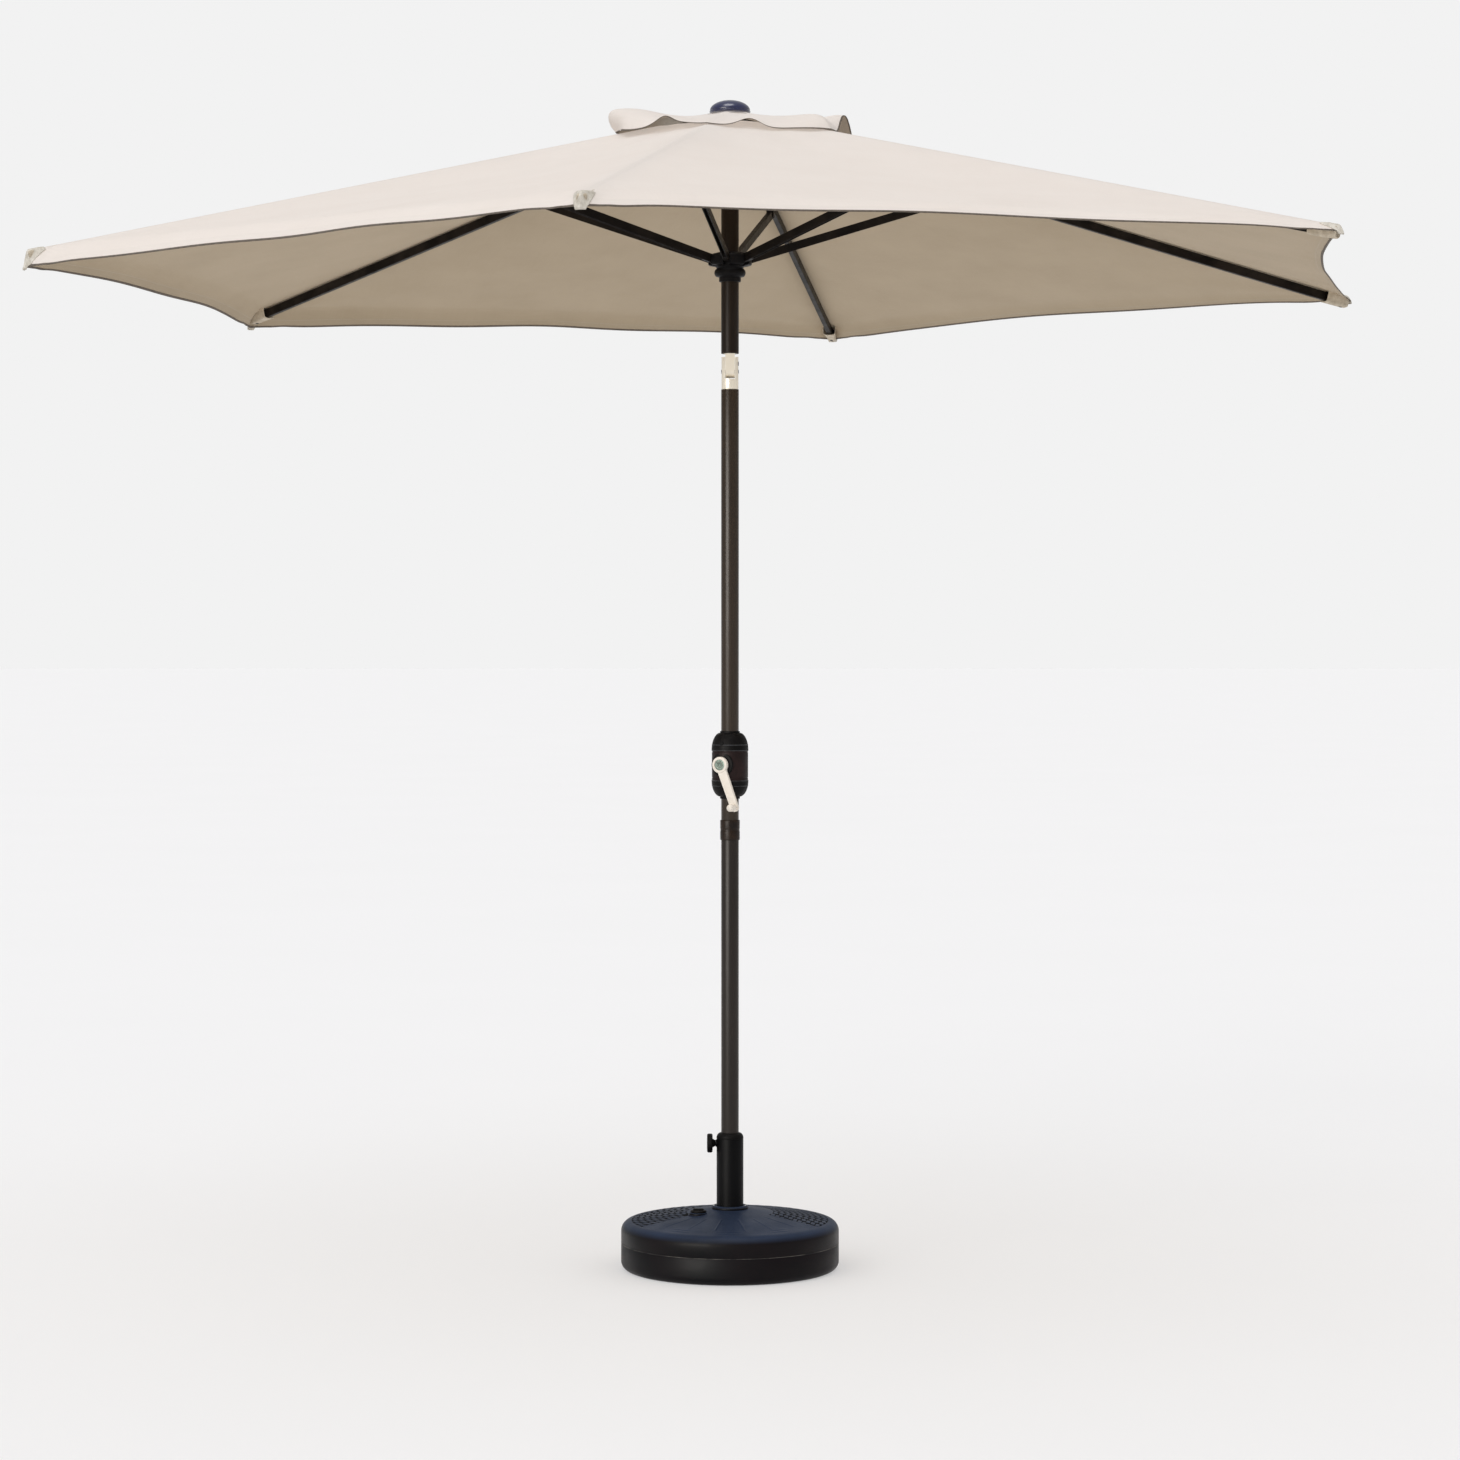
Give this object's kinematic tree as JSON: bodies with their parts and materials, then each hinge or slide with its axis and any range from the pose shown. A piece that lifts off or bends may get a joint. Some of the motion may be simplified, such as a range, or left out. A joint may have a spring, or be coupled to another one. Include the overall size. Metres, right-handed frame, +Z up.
{
  "type": "patio umbrella with base",
  "caption": "Hexagonal crank-lift patio umbrella with vent cap and tilting head, standing in a round fillable base with a clamp knob.",
  "frame": {"origin": "centre of the base's underside, on the floor", "axes": "+Z up along the mast; -Y towards the front, where the crank is; +X to the right"},
  "size_m": [2.8248, 2.9574, 2.518],
  "materials": {
    "base_plastic": "satin",
    "black_plastic": "satin",
    "fill": "matte",
    "black_metal": "satin",
    "bronze_metal": "satin",
    "bare_aluminium": "satin",
    "steel": "satin",
    "canopy_cloth": "matte",
    "finial_gloss": "gloss",
    "cord": "matte"
  },
  "bodies": {
    "base": {"base_tank": "base_plastic", "ballast": "fill", "socket_tube": "black_metal", "socket_collar": "base_plastic", "reducer_bush": "black_plastic"},
    "cap": {"filler_cap": "black_plastic"},
    "knob": {"clamp_knob": "black_plastic"},
    "mast": {"lower_pole": "bronze_metal", "joint_sleeve": "steel", "pole_collar": "bronze_metal", "middle_pole": "bronze_metal", "housing_left": "black_plastic", "housing_right": "black_plastic", "tilt_clevis": "bare_aluminium", "tilt_pin": "steel", "lift_cord_lower": "cord"},
    "crank": {"crank_spool": "steel", "crank_arm": "bare_aluminium"},
    "grip": {"crank_grip": "bare_aluminium"},
    "button": {"tilt_button": "black_plastic"},
    "head": {"tilt_tongue": "bare_aluminium", "upper_pole": "bronze_metal", "top_hub": "black_plastic", "finial": "finial_gloss", "lift_cord_upper": "cord"},
    "runner": {"runner": "black_plastic", "lift_cord_drop": "cord"},
    "rib_1": {"rib_1": "bronze_metal", "rib_tip_1": "black_plastic", "canopy_gore_1": "canopy_cloth", "vent_gore_1": "canopy_cloth"},
    "strut_1": {"strut_1": "bronze_metal"},
    "rib_2": {"rib_2": "bronze_metal", "rib_tip_2": "black_plastic", "canopy_gore_2": "canopy_cloth", "vent_gore_2": "canopy_cloth"},
    "strut_2": {"strut_2": "bronze_metal"},
    "rib_3": {"rib_3": "bronze_metal", "rib_tip_3": "black_plastic", "canopy_gore_3": "canopy_cloth", "vent_gore_3": "canopy_cloth"},
    "strut_3": {"strut_3": "bronze_metal"},
    "rib_4": {"rib_4": "bronze_metal", "rib_tip_4": "black_plastic", "canopy_gore_4": "canopy_cloth", "vent_gore_4": "canopy_cloth"},
    "strut_4": {"strut_4": "bronze_metal"},
    "rib_5": {"rib_5": "bronze_metal", "rib_tip_5": "black_plastic", "canopy_gore_5": "canopy_cloth", "vent_gore_5": "canopy_cloth"},
    "strut_5": {"strut_5": "bronze_metal"},
    "rib_6": {"rib_6": "bronze_metal", "rib_tip_6": "black_plastic", "canopy_gore_6": "canopy_cloth", "vent_gore_6": "canopy_cloth"},
    "strut_6": {"strut_6": "bronze_metal"}
  },
  "joints": [
    {"name": "cap_unscrew", "type": "hinge", "parent": "base", "child": "cap", "pos_m": [-0.068, -0.042, 0.13], "axis": [0, 0, 1], "range_deg": [0, 270]},
    {"name": "knob_turn", "type": "hinge", "parent": "base", "child": "knob", "pos_m": [-0.04, 0, 0.2715], "axis": [-1, 0, 0], "range_deg": [0, 450]},
    {"name": "mast_lift", "type": "slide", "parent": "base", "child": "mast", "axis": [0, 0, 1], "range_m": [0, 0.2]},
    {"name": "crank_turn", "type": "hinge", "parent": "mast", "child": "crank", "pos_m": [0, 0, 1.091], "axis": [-0.454, -0.891, 0], "range_deg": [-4970, 0]},
    {"name": "grip_spin", "type": "hinge", "parent": "crank", "child": "grip", "pos_m": [0.00372, -0.06924, 1.00001], "axis": [-0.454, -0.891, 0], "continuous": true},
    {"name": "button_press", "type": "slide", "parent": "mast", "child": "button", "axis": [-1, 0, 0], "range_m": [0, 0.0025], "stiffness_N_per_m": 250},
    {"name": "tilt", "type": "hinge", "parent": "mast", "child": "head", "pos_m": [0, 0, 1.9365], "axis": [-1, 0, 0], "range_deg": [-35, 0]},
    {"name": "canopy_fold", "type": "hinge", "parent": "head", "child": "rib_1", "pos_m": [-0.03947, -0.01436, 2.47], "axis": [0.342, -0.9397, 0], "range_deg": [0, 72.9], "deforming": ["canopy_gore_1", "canopy_gore_2", "canopy_gore_3", "canopy_gore_4", "canopy_gore_5", "canopy_gore_6", "vent_gore_1", "vent_gore_2", "vent_gore_3", "vent_gore_4", "vent_gore_5", "vent_gore_6", "lift_cord_drop", "lift_cord_upper", "lift_cord_lower"]},
    {"name": "rib_2_fold", "type": "hinge", "parent": "head", "child": "rib_2", "pos_m": [-0.00729, -0.04136, 2.47], "axis": [0.9848, -0.1736, 0], "range_deg": [0, 72.95]},
    {"name": "rib_3_fold", "type": "hinge", "parent": "head", "child": "rib_3", "pos_m": [0.03217, -0.027, 2.47], "axis": [0.6428, 0.766, 0], "range_deg": [0, 72.95]},
    {"name": "rib_4_fold", "type": "hinge", "parent": "head", "child": "rib_4", "pos_m": [0.03947, 0.01436, 2.47], "axis": [-0.342, 0.9397, 0], "range_deg": [0, 72.95]},
    {"name": "rib_5_fold", "type": "hinge", "parent": "head", "child": "rib_5", "pos_m": [0.00729, 0.04136, 2.47], "axis": [-0.9848, 0.1736, 0], "range_deg": [0, 72.95]},
    {"name": "rib_6_fold", "type": "hinge", "parent": "head", "child": "rib_6", "pos_m": [-0.03217, 0.027, 2.47], "axis": [-0.6428, -0.766, 0], "range_deg": [0, 72.95]},
    {"name": "strut_1_fold", "type": "hinge", "parent": "rib_1", "child": "strut_1", "pos_m": [-0.50247, -0.18288, 2.33275], "axis": [0.342, -0.9397, 0], "range_deg": [-144.2, 0]},
    {"name": "strut_2_fold", "type": "hinge", "parent": "rib_2", "child": "strut_2", "pos_m": [-0.09285, -0.52659, 2.33275], "axis": [0.9848, -0.1736, 0], "range_deg": [-144.2, 0]},
    {"name": "strut_3_fold", "type": "hinge", "parent": "rib_3", "child": "strut_3", "pos_m": [0.40962, -0.34371, 2.33275], "axis": [0.6428, 0.766, 0], "range_deg": [-144.2, 0]},
    {"name": "strut_4_fold", "type": "hinge", "parent": "rib_4", "child": "strut_4", "pos_m": [0.50247, 0.18288, 2.33275], "axis": [-0.342, 0.9397, 0], "range_deg": [-144.2, 0]},
    {"name": "strut_5_fold", "type": "hinge", "parent": "rib_5", "child": "strut_5", "pos_m": [0.09285, 0.52659, 2.33275], "axis": [-0.9848, 0.1736, 0], "range_deg": [-144.2, 0]},
    {"name": "strut_6_fold", "type": "hinge", "parent": "rib_6", "child": "strut_6", "pos_m": [-0.40962, 0.34371, 2.33275], "axis": [-0.6428, -0.766, 0], "range_deg": [-144.2, 0]},
    {"name": "runner_slide", "type": "slide", "parent": "head", "child": "runner", "axis": [0, 0, -1], "range_m": [0, 0.7375]}
  ],
  "couplings": [
    {"joint": "rib_2_fold", "follows": "canopy_fold", "ratio": 1},
    {"joint": "rib_3_fold", "follows": "canopy_fold", "ratio": 1},
    {"joint": "rib_4_fold", "follows": "canopy_fold", "ratio": 1},
    {"joint": "rib_5_fold", "follows": "canopy_fold", "ratio": 1},
    {"joint": "rib_6_fold", "follows": "canopy_fold", "ratio": 1},
    {"joint": "strut_1_fold", "follows": "canopy_fold", "ratio": -1.9742},
    {"joint": "strut_2_fold", "follows": "canopy_fold", "ratio": -1.9742},
    {"joint": "strut_3_fold", "follows": "canopy_fold", "ratio": -1.9742},
    {"joint": "strut_4_fold", "follows": "canopy_fold", "ratio": -1.9742},
    {"joint": "strut_5_fold", "follows": "canopy_fold", "ratio": -1.9742},
    {"joint": "strut_6_fold", "follows": "canopy_fold", "ratio": -1.9742},
    {"joint": "runner_slide", "follows": "canopy_fold", "m_per_rad": 0.578},
    {"joint": "crank_turn", "follows": "canopy_fold", "ratio": -68}
  ]
}
